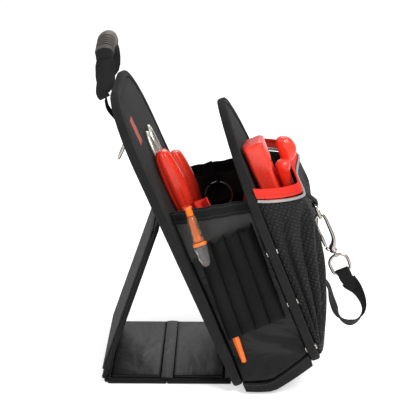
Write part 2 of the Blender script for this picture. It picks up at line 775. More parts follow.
def planar_uv(obj, flat):
    """UVs in metres from flat(point in millimetres), which gives (s, t)."""
    mesh = obj.data
    layer = mesh.uv_layers.new(name="UVMap") if not mesh.uv_layers else mesh.uv_layers[0]
    place = [flat(v.co / MM) for v in mesh.vertices]
    for loop in mesh.loops:
        s, t = place[loop.vertex_index]
        layer.data[loop.index].uv = (s * MM, t * MM)
    return obj


# The outlines of the pouch's panels in (y, v).

def bezier(a, b, c, d, count):
    a, b, c, d = Vector(a), Vector(b), Vector(c), Vector(d)
    points = []
    for i in range(1, count + 1):
        t = i / count
        s = 1.0 - t
        points.append(a * s ** 3 + b * 3 * s * s * t + c * 3 * s * t * t + d * t ** 3)
    return points


def back_outline(count=24):
    half = [Vector((10.0 * i, 366.0)) for i in range(6)]
    half += bezier((54.0, 366.0), (94.0, 366.0), (131.0, 334.0), (131.0, 286.0), count)
    half += [Vector((131.0, 286.0 - 9.0 * i)) for i in range(1, 30)]
    half += [Vector((131.0 - 12.0 + 12.0 * cos(a), 15.0 - 12.0 * sin(a)))
             for a in (radians(9 * i) for i in range(11))]
    half += [Vector((119.0 - 9.15 * i, 3.0)) for i in range(1, 13)]
    return [*half, *(Vector((-p.x, p.y)) for p in reversed(half[1:]))]


def front_outline(count=30):
    half = [Vector((0.0, 299.0))]
    half += bezier((0.0, 299.0), (30.0, 299.0), (112.0, 250.0), (131.0, 180.0), count)
    half += [Vector((131.0, 180.0 - 8.5 * i)) for i in range(1, 20)]
    half += [Vector((131.0 - 14.0 + 14.0 * cos(a), 10.0 - 14.0 * sin(a)))
             for a in (radians(9 * i) for i in range(11))]
    half += [Vector((117.0 - 9.0 * i, -4.0)) for i in range(1, 13)]
    return [*half, *(Vector((-p.x, p.y)) for p in reversed(half[1:]))]


def inward(outline, distance):
    """An outline (clockwise in y and v) moved in by distance."""
    count = len(outline)
    result = []
    for i, p in enumerate(outline):
        along = (outline[(i + 1) % count] - outline[i - 1]).normalized()
        result.append(p + Vector((along.y, -along.x)) * distance)
    return result


def front_face(v):
    return 94.5 + 0.03 * v


def edge_binding(name, outline, face, thick, seed):
    """Webbing folded over a panel's edge and sewn through, a little puckered by its stitches."""
    middle = inward(outline, 4.5)
    path, sides = [], []
    for p, q in zip(middle, inward(outline, 8.0)):
        path.append(from_pouch((face(p.y), p.x, p.y)))
        sides.append(from_pouch((face(q.y), q.x, q.y)) - path[-1])
    base = superellipse(4.4, thick / 2, 36, 3.6)

    def shape(t, i):
        pucker = 0.22 * rough((i * 8.0, seed, 0.0), 11.0)
        return [(a * (1.0 + 0.02 * pucker), b * (1.0 + 0.10 * pucker - (0.07 if a > 1.5 else 0.0)))
                for a, b in base]

    obj = sweep(name, path, sides, shape, closed=True)
    done(obj, "binding", name)
    return obj


def panel_uv(p):
    q = to_pouch(p)
    return q.y, q.z


back = puffed("back_panel_padding", ("back_panel",), 4.0, 1.7, 0.1)
planar_uv(back, panel_uv)
done(back, "panel", "back_panel")
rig.padded(back, 0.7)
front = puffed("front_panel_padding", ("front_panel",), 4.0, 1.5, 1.5)
planar_uv(front, panel_uv)
done(front, "panel", "front_panel")
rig.padded(front, 0.7)
edge_binding("back_panel_binding", back_outline(), lambda v: 0.0, 10.6, 1.0)
edge_binding("front_panel_binding", front_outline(), front_face, 10.6, 5.0)


# ---------------------------------------------------------------- gussets and pen loops

def gusset_y(v):
    return 118.0 - 20.0 * v / 210.0


REAR, FORE = 5.8, 88.7
LIP = ((5.8, 6.0), (36.0, -6.0), (88.7, 8.0))          # the pouch's foot: inner and outer edge of its binding
OUTER = ((5.8, -5.0), (36.0, -17.0), (88.7, -5.5))


def heel_line(u, keys):
    """Height of a line with a softened corner at its middle key."""
    (a, va), (b, vb), (c, vc) = keys
    straight = lerp(va, vb, (u - a) / (b - a)) if u < b else lerp(vb, vc, (u - b) / (c - b))
    side = (u - a) / (b - a) if u < b else (c - u) / (c - b)
    return straight - 0.8 * sin(pi * min(max(side, 0.0), 1.0)) + 0.9 * exp(-((u - b) / 2.5) ** 2)


for side, sign in (("near", -1), ("far", 1)):
    rows = []
    for r in range(41):
        t = r / 40
        line = []
        for c in range(31):
            s = c / 30
            low = heel_line(lerp(REAR, FORE, s), LIP) - 0.8
            high = lerp(207.0, 187.0, s)
            v = lerp(low, high, t)
            u = lerp(REAR, FORE + 0.024 * v, s)
            edge = smooth_step(0, 0.16, s) * smooth_step(0, 0.16, 1 - s) * smooth_step(0, 0.1, t) * smooth_step(
                0, 0.1, 1 - t)
            fold = (1.6 * edge * (0.6 * rough((u, v * 0.35, 9.0 * sign), 26.0) - 0.5)
                    + 0.25 * edge * rough((u, v, 3), 9))
            flare = smooth_step(0.17, 0.0, t) * 6.4
            toe = (v - 12.0 - 0.62 * (FORE - u)) / 6.0
            fold += 2.6 * edge * exp(-toe * toe) * smooth_step(28.0, 48.0, u)
            line.append(from_pouch((u, sign * (gusset_y(v) + fold + flare), v)))
        rows.append(line)
    wall = thicken(surface("side_gusset_" + side, rows, flip=sign < 0), 2.4, 0.0)
    done(wall, "vinyl", "side_gusset_" + side)
    wall.data.materials.append(MAT["grey_vinyl"])
    for face in wall.data.polygons:
        if to_pouch(face.center / MM).z > 158.0:
            face.material_index = 1

    path = [from_pouch((lerp(REAR, 94.2, i / 24), sign * gusset_y(lerp(211.7, 191.4, i / 24)),
                        lerp(211.7, 191.4, i / 24) + 0.5 * sin(i * 1.1))) for i in range(25)]
    across = (from_pouch((50.0, sign * gusset_y(212), 212.0)) - from_pouch((50.0, sign * gusset_y(192), 192.0)))
    tape = superellipse(7.6, 2.3, 32, 4.5)
    strip = sweep("gusset_band_" + side, path, across,
                  lambda t, i: [(a, b * (1.0 + 0.06 * sin(i * 1.9))) for a, b in tape])
    done(strip, "band", "gusset_band_" + side)

    rows = []
    for r in range(27):
        t = r / 26
        line = []
        for c in range(97):
            s = c / 96
            arch = abs(sin(pi * 4 * s)) ** 0.62
            depth = 11.6 * (1.0 - 0.10 * exp(-((t - 0.5) / 0.3) ** 2)) * (0.93 + 0.07 * sin(3 + 5 * s + 7 * t))
            v = lerp(56.0, 173.0, t)
            scallop = arch * (3.2 * smooth_step(0.86, 1.0, t) + 4.5 * smooth_step(0.14, 0.0, t))
            v_here = v - (scallop if t > 0.5 else -scallop)
            u = lerp(lerp(10.5, 19.0, t), lerp(80.0, 87.5, t), s)
            lip = 0.7 * smooth_step(0.93, 0.985, t)
            y = (gusset_y(v) + 1.5 + 0.3 + 0.8 + depth * arch + lip * arch
                 + 0.3 * rough((u, v, sign * 7), 12.0) * arch)
            line.append(from_pouch((u, sign * y, v_here)))
        rows.append(line)
    loops = thicken(surface("pen_loops_" + side, rows, flip=sign < 0), 1.5, 0.0)
    done(loops, "loop_cloth", "pen_loops_" + side)


# ---------------------------------------------------------------- front pocket

# Each fan of pleats: its angle up from the toe, its width in radians and its depth.
PLEATS = ((0.11, 0.026, 5.0), (0.25, 0.032, 7.5), (0.4, 0.036, 6.0), (0.6, 0.05, 3.0))


def pocket_depth(v):
    t = min(max(v / 190.0, 0.0), 1.0)
    return 7.0 + 46.0 * (1.0 - (1.0 - t) ** 2.2)


def rim_slope(base):
    return 0.434 * min(1.0, max(0.0, base / 180.0))


def pocket_row(base, inward_by, slope, count=16, pleats=0.0):
    """Points of the pocket's wall from the near side round to the far side."""
    half = 120.5 - inward_by
    depth = pocket_depth(base) - inward_by
    near = [(0.0, half), (depth * 0.25, half - 0.5), (depth * 0.62, half - 9.0), (depth * 0.9, half - 26.0),
            (depth - 4.0 * min(1.0, base / 120.0), half - 50.0)]
    sagged = depth - 8.0 * min(1.0, base / 120.0)
    line = [(u, -y) for u, y in near] + [(sagged, -16.0), (sagged, 16.0)] + [(u, y) for u, y in reversed(near)]
    dense = spline([(u, y, 0.0) for u, y in line], count)
    points = []
    reach = [0.0]
    for a, b in zip(dense, dense[1:]):
        reach.append(reach[-1] + (b - a).length)
    for i, p in enumerate(dense):
        u, y = p.x, p.y
        before, after = dense[max(i - 1, 0)], dense[min(i + 1, len(dense) - 1)]
        along = (after - before).normalized()
        out = Vector((along.y, -along.x))  # points away from the pocket
        if pleats:
            fan = atan2(min(reach[i], reach[-1] - reach[i]), base + 14.0)
            deep = smooth_step(1.0, 7.0, u) * smooth_step(4, 50, base) * smooth_step(199, 160, base)
            fall = 0.0
            for place, width, depth_in in PLEATS:
                d = (fan - place - 0.03 * sin(base * 0.03 + (1.0 if y < 0 else 2.6))) / width
                fall += depth_in * exp(-d * d) - depth_in * 0.32 * exp(-((d - 1.7) / 1.1) ** 2)
            soft = (1.1 * rough((y, base * 0.6, 4.0), 34.0)
                    * smooth_step(0, 40, base) * smooth_step(200, 170, base))
            u -= out.x * (fall * deep + soft) * pleats
            y -= out.y * (fall * deep + soft) * pleats
        v = base - slope * u
        points.append(from_pouch((front_face(v) + 5.8 + max(u, 0.1), y, v)))
    return points


rows = [[from_pouch((front_face(3.0) + 7.0, to_pouch(p).y, 3.5)) for p in pocket_row(2.0, 0.0, 0.0, 16)]]
for i in range(78):
    base = 2.0 + 193.7 * (i / 77)
    rows.append(pocket_row(base, 0.9, rim_slope(base), 16, 1.0))
pocket = thicken(surface("front_pocket", rows), 1.5, 0.0)
done(pocket, "honeycomb", "front_pocket")

rim = pocket_row(198.4, -0.4, 0.434, 16)
piping = rod("pocket_piping", rim, 1.7, normal=(0, 0, 1))
done(piping, "piping", "pocket_piping")

rows = [pocket_row(201.3 + 12.4 * (i / 10), 0.9 + 0.3 * sin(i * 0.9), 0.434, 16) for i in range(11)]
facing = thicken(surface("pocket_facing", rows), 2.0, 0.0)
facing = rounded(facing, 0.5)
done(facing, "red_cloth", "pocket_facing")


# ---------------------------------------------------------------- bottom

low_line = [Vector((lerp(5.8, 88.7, i / 30), 0, heel_line(lerp(5.8, 88.7, i / 30), OUTER))) for i in range(31)]
rows = []
for i in range(49):
    y = lerp(-124.2, 124.2, i / 48)
    sag = 0.5 * rough((y, 0, 1), 30.0)
    line = [from_pouch((p.x, y, p.z + 1.0 + 0.3 * sag)) for p in low_line]
    line += [from_pouch((p.x, y, p.z + 5.0)) for p in reversed(low_line)]
    rows.append(line)
bottom = rounded(fix_normals(surface("bottom_panel", rows, wrap=True, cap=True)), 0.6)
done(bottom, "vinyl", "bottom_panel")
for side, sign in (("near", -1), ("far", 1)):
    across = [lerp(5.8, 88.7, i / 40) for i in range(41)]
    high = [Vector((u, 0, heel_line(u, LIP))) for u in across]
    low = [Vector((u, 0, heel_line(u, OUTER))) for u in across]
    rows = []
    for y, inset in ((124.8, 0.9), (125.3, 0.3), (126.5, 0.0), (129.2, 0.0), (130.4, 0.4), (131.0, 1.4)):
        line = [from_pouch((p.x, sign * y, p.z - inset)) for p in high]
        line += [from_pouch((p.x, sign * y, p.z + inset)) for p in reversed(low)]
        rows.append(line)
    edge = fix_normals(surface("bottom_binding_" + side, rows, wrap=True, cap=True))
    done(edge, "binding", "bottom_binding_" + side)


# ---------------------------------------------------------------- trim on the pouch

def route(keys, count, place=as_is):
    return spline([place(p) for p in keys], count)


for side, sign in (("near", -1), ("far", 1)):
    keys = [(-13.5, 46 * sign, 360.5), (-15.5, 46 * sign, 350.0), (-12.5, 46 * sign, 338.0),
            (-8.6, 46 * sign, 327.0), (-8.2, 46 * sign, 316.0)]
    keys += [(-12.0 + 2.95 * cos(a), 46 * sign, 306.0 + 2.95 * sin(a))
             for a in (radians(60 - 45 * i) for i in range(7))]
    keys += [(-11.6, 46 * sign, 322.0)]
    tab = strap("ring_tab_" + side, route(keys, 4, from_pouch), (0, 1, 0), 24.0, 1.5, ripple=0.03)
    done(tab, "tape", "ring_tab_" + side)
    down = Vector((-sin(TILT), 0, -cos(TILT)))
    bar = from_pouch((-12.0, sign * 46.0, 306.0))
    points = [bar + Vector((0, 15.0 * t, 0)) for t in (-0.84, -0.45, 0.0, 0.45, 0.84)]
    points += [bar + Vector((0, 15.0 * cos(a), 0)) + down * (1.2 + 22.0 * sin(a) ** 0.8) for a in
               (pi * i / 28 for i in range(29))]
    obj = rod("shoulder_ring_" + side, points, 1.75, closed=True, normal=(cos(TILT), 0, -sin(TILT)))
    done(obj, "steel", "shoulder_ring_" + side)

# A rivet has a domed head on each face of the binding.
for side, sign in (("near", -1), ("far", 1)):
    for number, v in enumerate((15.0, 74.0, 138.0), 1):
        heads = []
        for way in (1, -1):
            dome = [(5.35, 3.9), (5.8, 4.0), (6.3, 3.7), (6.8, 2.9), (7.05, 1.7), (7.1, 0.5)]
            heads.append(lathe("head", dome, lambda p, w=way, y=sign * 126.5, h=v: from_pouch(
                (front_face(h) + w * p[0], y + p[1], h + p[2])), 24))
        name = f"front_rivet_{side}_{number}"
        done(joined(name, heads), "steel", name)

# Red tool loops and divider in the main pocket
rows = []
for r in range(15):
    t = r / 14
    line = []
    for c in range(61):
        s = c / 60
        arch = abs(sin(2 * pi * s)) ** 0.6
        v = lerp(157.0, 219.0, t) - 3.0 * arch * smooth_step(0.8, 1, t)
        y = gusset_y(v) - 2.8 - 0.7 - (10.4 + 0.5 * sin(7 * t + 3 * s)) * arch
        line.append(from_pouch((22.0 + 30.0 * s, -y, v)))
    rows.append(line)
done(thicken(surface("inner_tool_loops", rows), 1.3, 0.0), "red_cloth", "inner_tool_loops")
rows = []
for r in range(15):
    t = r / 14
    rows.append([from_pouch((lerp(58.8, 83.0, t) + 0.8 * sin(c * 0.5 + 2 * t), lerp(34.0, 88.0, c / 24),
                             lerp(127.6, 172.6, t) + 0.8 * sin(c * 0.4))) for c in range(25)])
done(thicken(surface("inner_divider", rows), 1.4, 0.0), "red_cloth", "inner_divider")

rows = []
for r in range(13):
    t = r / 12
    rows.append([from_pouch((5.2 + 0.35 * sin(c * 0.8 + r) * (0.5 if 0 < r < 12 else 0.1),
                             lerp(-72.0, -50.0, c / 10), lerp(299.0, 331.0, t))) for c in range(11)])
done(thicken(surface("name_patch", rows), 1.0, 0.0), "patch", "name_patch")

keys = [(44.0, 94.5, 212.0), (44.0, 92.9, 205.0)]
keys += [(44.0, 88.5 + 2.6 * cos(a), 186.0 + 2.6 * sin(a)) for a in (radians(15 - 42 * i) for i in range(6))]
done(strap("inner_ring_tab", route(keys, 5, from_pouch), (1, 0, 0), 18.0, 1.2), "tape", "inner_ring_tab")
points = [from_pouch((44.0 + 17.0 * cos(a), 88.5, 169.0 + 17.0 * sin(a))) for a in
          (2 * pi * i / 56 for i in range(56))]
done(rod("inner_ring", points, 1.2, closed=True, normal=(0, 1, 0), sides=14), "bright", "inner_ring")


# ---------------------------------------------------------------- carry handle

def handle_line(count):
    half = [(-14.0, 46.0, 361.5), (-14.0, 46.2, 369.0), (-6.4, 46.4, 377.5), (-1.8, 46.5, 387.0),
            (3.0, 43.5, 400.0), (5.4, 37.0, 407.0), (7.5, 28.0, 411.5), (9.0, 14.0, 414.5), (9.6, 0.0, 415.5)]
    keys = [Vector((u, -y, v)) for u, y, v in half] + [Vector(p) for p in reversed(half[:-1])]
    return spline(keys, count)


HANDLE_SPAN = 8
line = handle_line(HANDLE_SPAN)
widths = spline([(w, t, 0) for w, t in [(6.6, 1.2), (7.4, 1.4), (10.4, 1.7), (11.4, 1.9), (10.6, 2.2),
                                       (6.4, 2.2), (5.0, 1.9), (5.0, 1.8), (5.0, 1.8)]], HANDLE_SPAN)
widths = widths + list(reversed(widths[:-1]))


def folded(half_side, half_thick, curl, count=36):
    """The section of webbing with both edges turned in, seen end on."""
    points = []
    for a, b in superellipse(half_side, half_thick, count, 3.2):
        points.append((a, b + curl * half_thick * 0.5 * cos(pi * a / half_side)))
    return points


path = [from_pouch(p) for p in line]
side_dir = [from_pouch((1, 0, 0.12)) - from_pouch((0, 0, 0)) for _ in path]
obj = sweep("handle_strap", path, side_dir, lambda t, i: folded(
    widths[i].x * (1 + 0.04 * rough((i * 3.0, 0, 0), 4.0)), max(widths[i].y, 1.1), 0.8 * sin(i * 0.35)))
finish_piece(obj, MAT["tape"], None, ("handle_strap",), "webbing")
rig.blend(obj, "pouch", "carry_handle", start=tuple(from_pouch((-13.0, 0, 362.0)) * MM),
         end=tuple(from_pouch((-8.0, 0, 382.0)) * MM))

first = 5 * HANDLE_SPAN + 2
last = len(line) - 1 - first
grip_line = spline([line[i] for i in range(first, last + 1, 4)], 24)
grip_path = [from_pouch(p) for p in grip_line]
total = len(grip_path) - 1


def grip_shape(t, i):
    end = min(t, 1 - t)
    rib = (0.5 + 0.5 * cos(2 * pi * (end - 0.07) / 0.055)) ** 2 if end < 0.36 else 0.0
    radius = 11.0 - 1.1 * rib + 0.4 * smooth_step(0.3, 0.5, end) + 0.5 * smooth_step(0.05, 0.02, end)
    return superellipse(radius, radius * 0.9, 40, 2.15)


obj = sweep("handle_grip", grip_path, [side_dir[0]] * len(grip_path), grip_shape)
done(obj, "rubber", "handle_grip")
obj.data.materials.append(MAT["rubber_dark"])
ring_count = 40
for face in obj.data.polygons:
    row = face.vertices[0] // ring_count
    end = min(row / total, 1 - row / total)
    if 0.05 < end < 0.36 and (0.5 + 0.5 * cos(2 * pi * (end - 0.07) / 0.055)) > 0.62:
        face.material_index = 1
for side, lo, hi, node in (("near", 4 * HANDLE_SPAN + 2, first - 1, "grip_sleeve_near"),
                           ("far", last + 1, last + 2 * HANDLE_SPAN - 2, "grip_sleeve_far")):
    part = [from_pouch(line[i]) for i in range(lo, hi + 1)]
    part = spline(part, 3)

    def cuff(t, i, s=side):
        out = t if s == "far" else 1 - t
        flare = 10.5 - 0.6 * out + 0.12 * sin(26 * t)
        return superellipse(flare, flare * (0.88 - 0.25 * out), 32, 2.2)

    done(sweep("grip_sleeve_" + side, part, [side_dir[0]] * len(part), cuff), "tape", node)


# ---------------------------------------------------------------- stand

def stand_board(node, x0, x1, place, corners=2.2, tail_corner=0.0, swell=0.0):
    """A stiff board covered in vinyl, bound in webbing. place(x, y, depth) is a point in the frame's axes."""
    half = 101.0

    def outline(inset):
        points = []
        tail = max(tail_corner, corners)
        for cx, cy, r, start in ((x1, half, corners, 0), (x0, half, tail, 90), (x0, -half, tail, 180),
                                 (x1, -half, corners, 270)):
            r2 = max(r, 2.0)
            mx = cx + (-1 if cx == x1 else 1) * r2
            my = cy - (1 if cy > 0 else -1) * r2
            for i in range(7):
                a = radians(start + 15 * i)
                points.append(((r2 - inset) * cos(a) + mx if r2 > inset else mx + (r2 - inset) * cos(a),
                               my + (r2 - inset) * sin(a)))
        dense = []
        for p, q in zip(points, points[1:] + points[:1]):
            steps = max(1, int((Vector(q) - Vector(p)).length / 8.0))
            dense += [(lerp(p[0], q[0], i / steps), lerp(p[1], q[1], i / steps)) for i in range(steps)]
        return dense

    rim = outline(4.5)
    path = [place(x, y, 2.5) for x, y in rim]
    sides = []
    for (x, y) in rim:
        dx = 1.0 if x < x0 + 5.5 else (-1.0 if x > x1 - 5.5 else 0.0)
        dy = 1.0 if y < -half + 5.5 else (-1.0 if y > half - 5.5 else 0.0)
        sides.append(place(x + dx, y + dy, 2.5) - place(x, y, 2.5))
    tape = superellipse(4.5, 2.45, 32, 3.6)
    binding = sweep(node + "_binding", path, sides,
                    lambda t, i: [(a, b * (1.0 + 0.05 * rough((i * 8.0, x0, 0), 10.0))) for a, b in tape],
                    closed=True)
    done(binding, "stand_binding", node + "_binding")

    rows = []
    columns, height = 48, 25
    for r in range(height):
        t = r / (height - 1)
        line = []
        for c in range(columns + 1):
            s = c / columns
            edge = min(smooth_step(0, 0.06, s), smooth_step(0, 0.06, 1 - s), smooth_step(0, 0.1, t),
                       smooth_step(0, 0.1, 1 - t))
            lift = edge * (0.35 + 0.35 * rough((s * 60, t * 30, x0), 11.0))
            line.append(place(lerp(x0 + 8.4, x1 - 8.4, t), lerp(-92.6, 92.6, s), 4.0 + lift + swell * edge))
        rows.append(line)
    board = thicken(surface(node, rows), 3.4, -1.0)
    done(board, "vinyl", node)
    if node == "stand_flap":
        board.data.materials.append(MAT["honeycomb"])
        outside = (place(0, 0, 1) - place(0, 0, 0)).normalized()
        for face in board.data.polygons:
            if face.normal.dot(outside) > 0.3:
                face.material_index = 1


def flat(x, y, depth):
    return Vector((x, y, depth))


FLAP_RISE = radians(70.59)                # the flap's slope up from the rear base board


def on_flap(x, y, depth):
    return Vector((-110.0 + cos(FLAP_RISE) * x - sin(FLAP_RISE) * depth, y,
                   5.6 + sin(FLAP_RISE) * x + cos(FLAP_RISE) * depth))


stand_board("stand_base_front", -37.95, 37.5, flat)
stand_board("stand_base_rear", -112.0, -38.05, flat, tail_corner=9.0)
stand_board("stand_flap", 0.0, 196.0, on_flap)


def fold_cover(name, keys, half, a_body, b_body, start, end, thickness=1.0):
    """A flexible web sewn across a fold, from one board to the next; keys are (x, z)."""
    line = spline([(x, 0.0, z) for x, z in keys], 6)
    rows = []
    for p in line:
        rows.append([Vector((p.x, lerp(-half, half, i / 40), p.z + 0.25 * rough((p.x, i * 6.0, 3.0), 14.0)))
                     for i in range(41)])
    obj = thicken(surface(name, rows), thickness, 0.0)
    finish_piece(obj, MAT["vinyl"], None, (), "vinyl")
    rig.blend(obj, a_body, b_body, start=tuple(c * MM for c in start), end=tuple(c * MM for c in end))


fold_cover("stand_middle_fold", [(-31.0, 5.3), (-34.5, 5.7), (-38.0, 5.9), (-41.5, 5.7), (-45.0, 5.3)], 99.0,
           "stand_base_front", "stand_base_rear", (-34.0, 0, 5), (-42.0, 0, 5))
foot = on_flap(9.0, 0, 0.0)
fold_cover("stand_rear_fold",
           [(-104.0, 5.4), (-108.0, 6.2), (foot.x + 1.6, foot.z - 6.0), (foot.x + 0.8, foot.z)],
           96.0, "stand_base_rear", "stand_flap", (-106.0, 0, 5), (-110.0, 0, 9), 0.8)
fold_cover("stand_heel_fold", [(30.0, 5.5), (35.0, 6.0), (39.5, 6.4), (43.5, 6.4), (46.5, 8.0)], 99.0,
           "stand_base_front", "pouch", (36.0, 0, 5), (43.0, 0, 6), 0.8)


# ---------------------------------------------------------------- front clip and lanyard

points = [(0.0, 13.0 * t, 0.0) for t in (-0.84, -0.45, 0.0, 0.45, 0.84)]
points += [(0.0, 13.0 * cos(a), -(1.2 + 19.0 * sin(a) ** 0.8)) for a in (pi * i / 28 for i in range(29))]
ring = rod("front_d_ring", [from_clip(p) for p in points], 1.75, closed=True,
           normal=(cos(CLIP_LEAN), 0, sin(CLIP_LEAN)))
done(ring, "steel", "front_d_ring")

bow = [(-7.6, -26.0, 1.5), (-6.9, -20.5, 1.6), (-4.2, -17.0, 1.7), (0.0, -15.8, 1.7), (3.5, -17.9, 1.8),
       (5.0, -24.0, 2.0), (5.3, -32.0, 2.3), (5.5, -42.0, 2.6), (5.0, -50.0, 2.9), (2.6, -56.0, 3.6),
       (-0.6, -60.5, 4.3), (-0.6, -64.5, 3.9)]
dense = spline([(x, r, z) for x, z, r in bow], 6)
radii = [p.y for p in dense]


def hook_shape(t, i):
    flat_side = 1.0 - 0.12 * smooth_step(20, 40, i) * smooth_step(62, 50, i)
    return superellipse(radii[i] * 1.04, radii[i] * flat_side, 24, 2.3)


hook = sweep("hook", [from_clip((p.x, 0.0, p.z)) for p in dense], (0, 1, 0), hook_shape)
collar = lathe("collar", [(-63.0, 2.8), (-63.4, 4.2), (-64.4, 4.7), (-65.6, 4.4), (-66.4, 3.4), (-67.2, 3.0),
                          (-67.8, 1.6), (-67.9, 0.4)], lambda p: from_clip((-0.6 + p[1], p[2], p[0])), 28)
yoke_line = spline([from_clip(p) for p in ((-7.6, 0.0, -58.2), (-6.2, 0.0, -60.6), (-3.4, 0.0, -62.2),
                                           (-0.6, 0.0, -62.8))], 5)
yoke = sweep("yoke", yoke_line, (0, 1, 0), superellipse(3.0, 2.0, 20, 2.4))
lip = lathe("lip", [(-28.6, 0.3), (-28.5, 1.3), (-27.6, 1.9), (-26.2, 1.9), (-25.0, 1.55)],
            lambda p: from_clip((-7.7 + p[1], p[2], p[0])), 20)
done(joined("snap_hook", [hook, collar, lip, yoke]), "steel", "snap_hook")

gate = [(-7.9, -28.9, 1.3), (-7.9, -30.0, 1.5), (-7.8, -37.0, 1.45), (-7.75, -40.5, 1.6), (-7.7, -43.0, 2.1),
        (-7.7, -47.0, 2.2), (-7.6, -52.0, 2.0), (-7.6, -56.0, 1.7)]
dense_gate = spline([(x, r, z) for x, z, r in gate], 5)
body = sweep("gate", [from_clip((p.x, 0, p.z)) for p in dense_gate], (0, 1, 0),
             lambda t, i: superellipse(dense_gate[i].y, dense_gate[i].y, 20, 2.2))
stud = lathe("stud", [(-2.0, 0.8), (-2.6, 1.2), (-3.6, 1.25), (-4.0, 0.9), (-4.1, 0.2)],
             lambda p: from_clip((-7.7 + p[0] + 1.2, p[1], -46.0 + p[2])), 16)
done(joined("snap_gate", [body, stud]), "steel", "snap_gate")

head_z, bar_z = -69.0, -93.0
arch = [(11.5 * sin(a), 0.0, head_z - 11.9 + 10.0 * cos(a)) for a in (radians(6 + 12 * i) for i in range(8))]
arch += [(11.3, 0.0, bar_z + 6.0), (10.4, 0.0, bar_z + 1.6), (8.0, 0.0, bar_z)]
keys = [*arch, (0.0, 0.0, bar_z), *((-x, y, z) for x, y, z in reversed(arch))]
loop = spline([from_clip(p) for p in keys], 4, closed=True)
eye = rod("eye", loop, 1.9, closed=True, normal=(0, 1, 0), sides=18)
boss = lathe("boss", [(-69.4, 0.4), (-69.5, 2.6), (-70.4, 3.5), (-72.0, 3.7), (-73.4, 2.9), (-74.0, 0.4)],
             lambda p: from_clip((p[1], p[2] * 0.5, p[0])), 24)
stem = lathe("stem", [(-66.9, 0.3), (-67.0, 1.5), (-68.4, 1.7), (-70.2, 1.9), (-70.9, 0.4)],
             lambda p: from_clip((-0.3 + p[1], p[2], p[0])), 20)
done(joined("swivel_eye", [eye, boss, stem]), "steel", "swivel_eye")

x, z = CLIP_BAR.x, CLIP_BAR.z
keys = [(x - 14.0, 0, z + 20.5), (x - 10.8, 0, z + 13.0)]
keys += [(x + 2.9 * cos(a), 0, z + 2.9 * sin(a)) for a in (radians(38 - 32 * i) for i in range(7))]
done(strap("front_ring_tab", route(keys, 5), (0, 1, 0), 20.0, 1.5, ripple=0.03), "tape", "front_ring_tab")

def on_pocket(p):
    """A point just in front of the pocket's nearest point to p."""
    place = Vector(p) * MM
    nearest = min(pocket.data.vertices, key=lambda v: (v.co - place).length)
    return tuple(nearest.co / MM + Vector((1.2, 0.0, 0.0)))


LANYARD = [
    ((173.4, 0.0, 104.4), (0.92, 0.0, 0.38)), ((179.0, -1.0, 96.0), (0.92, 0.0, 0.38)),
    ((187.0, -3.0, 88.0), (0.85, -0.45, 0.3)), ((193.5, -3.0, 78.0), (0.6, -0.8, 0.2)),
    ((197.5, -2.0, 66.0), (0.3, -0.95, 0.2)), ((197.0, 0.0, 54.0), (0.0, -0.95, 0.3)),
    ((191.0, 1.0, 44.5), (-0.1, -0.85, 0.5)), ((182.0, 1.0, 41.0), (-0.1, -0.75, 0.65)),
    ((172.0, 1.0, 46.5), (-0.1, -0.85, 0.5)), ((164.5, 0.0, 58.5), (-0.3, -0.94, -0.12)),
    ((159.3, 0.0, 72.5), (-0.3, -0.95, -0.08)), ((155.5, 0.0, 88.0), (-0.15, -0.98, 0.0)),
    (on_pocket((153.0, 0.0, 102.0)), (0.0, -1.0, 0.0)), (on_pocket((151.0, 0.0, 116.0)), (0.0, -1.0, 0.0)),
]
path = spline([p for p, _ in LANYARD], 8)
sides = spline([s for _, s in LANYARD], 8)
low = strap("lanyard_strap", path[8:], sides[8:], 19.5, 1.5, ripple=0.03)
finish_piece(low, MAT["tape"], None, ("lanyard_strap",), "webbing")
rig.blend(low, "pouch", "front_clip", start=(0.1600, 0.0, 0.0867), end=(0.1756, 0.0, 0.0914))
# The upper end goes round the eye's bar and is sewn back on itself.
bar = from_clip((0.0, 0.0, bar_z))
out = (path[10] - path[0]).normalized()
turn = [path[10], path[5], path[1]]
side = Vector((0.92, 0, 0.38)).normalized()
normal = side.cross(out).normalized()
keys = [path[10] + normal * 0.1, path[5] + normal * 0.3, bar + out * 3.2 + normal * 2.4, bar + normal * 3.0,
        bar - out * 3.0, bar - normal * 3.0, bar + out * 3.2 - normal * 2.6, path[6] - normal * 1.3,
        path[16] - normal * 1.5]
top = strap("lanyard_loop", spline(keys, 6), side, 16.0, 1.4)
finish_piece(top, MAT["tape"], None, (), "webbing")
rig.blend(top, "front_clip", "swivel_eye", start=tuple(path[16] * MM), end=tuple((bar + out * 2.0) * MM))


# ---------------------------------------------------------------- tools

def plate(name, keys, u_low, u_high, place, count=8, bevel=0.6):
    """A forged steel lever of even thickness; keys are (y, v, half width) from end to end."""
    dense = spline([(y, v, h) for y, v, h in keys], count)
    left = [(p.x - p.z, p.y) for p in dense]
    right = [(p.x + p.z, p.y) for p in reversed(dense)]
    ring = left + right
    points = [place((u_low, y, v)) for y, v in ring] + [place((u_high, y, v)) for y, v in ring]
    count = len(ring)
    faces = [(i, (i + 1) % count, count + (i + 1) % count, count + i) for i in range(count)]
    half = count // 2
    for base in (0, count):
        for i in range(half - 1):
            faces.append((base + i, base + i + 1, base + count - 2 - i, base + count - 1 - i))
    return rounded(fix_normals(raw_mesh(name, points, faces)), bevel)


PLIERS_TURN = -radians(8.0)


def pliers_place(p):
    x, y, z = p
    return from_pouch((20.5 + x * cos(PLIERS_TURN) - y * sin(PLIERS_TURN),
                       -12.0 + x * sin(PLIERS_TURN) + y * cos(PLIERS_TURN), 152.0 + z))


